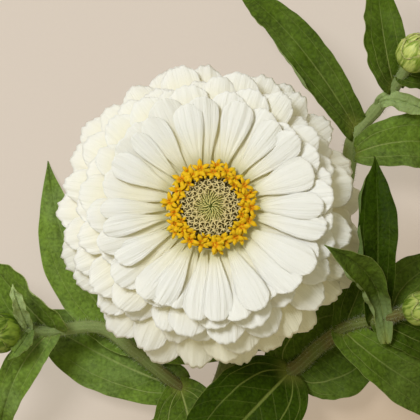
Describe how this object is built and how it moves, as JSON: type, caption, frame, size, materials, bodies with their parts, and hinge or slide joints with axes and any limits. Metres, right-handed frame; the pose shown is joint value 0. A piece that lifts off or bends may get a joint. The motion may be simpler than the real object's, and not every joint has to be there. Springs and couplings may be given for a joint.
{
  "type": "zinnia flower",
  "caption": "Double white zinnia bloom on its cut stem, with leafy side shoots and closed buds, lying on a surface with the bloom face up",
  "frame": {"origin": "centre of the flat spot on the underside of the main stem, on the surface that the flower lies on", "axes": "+Z up, the way the bloom faces; +Y from the cut end of the stem towards the bloom; +X to the right seen from above with +Y up"},
  "size_m": [0.1605, 0.2028, 0.0574],
  "materials": {
    "petal": "soft matt white petal, cream at the claw",
    "floret": "matt golden yellow floret",
    "scale": "matt cream-green chaff scale",
    "leaf": "satin green leaf with pale veins",
    "stem": "matt grey-green stem with short white hairs",
    "bud": "satin yellow-green bract with a darker edge"
  },
  "bodies": {
    "root": {"upper_leaf_long": "leaf", "upper_leaf_right": "leaf", "upper_leaf_top": "leaf", "upper_leaf_folded": "leaf", "upper_leaf_small": "leaf", "left_leaf_tall": "leaf", "left_leaf_under": "leaf", "left_leaf_down": "leaf", "left_leaf_upper": "leaf", "left_leaf_lower": "leaf", "left_leaf_curled": "leaf", "left_leaf_small": "leaf", "right_leaf_big": "leaf", "right_leaf_under": "leaf", "right_leaf_inner": "leaf", "right_leaf_outer": "leaf", "right_leaf_front": "leaf", "right_leaf_tall": "leaf", "right_leaf_back_upper": "leaf", "right_leaf_back_lower": "leaf", "main_leaf_hidden": "leaf", "main_leaf_left": "leaf", "main_leaf_right": "leaf", "main_stem": "stem", "left_shoot_stem": "stem", "right_shoot_stem": "stem", "upper_shoot_stem": "stem", "left_bud": "bud", "right_bud": "bud", "upper_bud": "bud", "involucre": "bud", "ray_petals": "petal", "disc_florets": "floret", "disc_scales": "scale"}
  },
  "joints": []
}
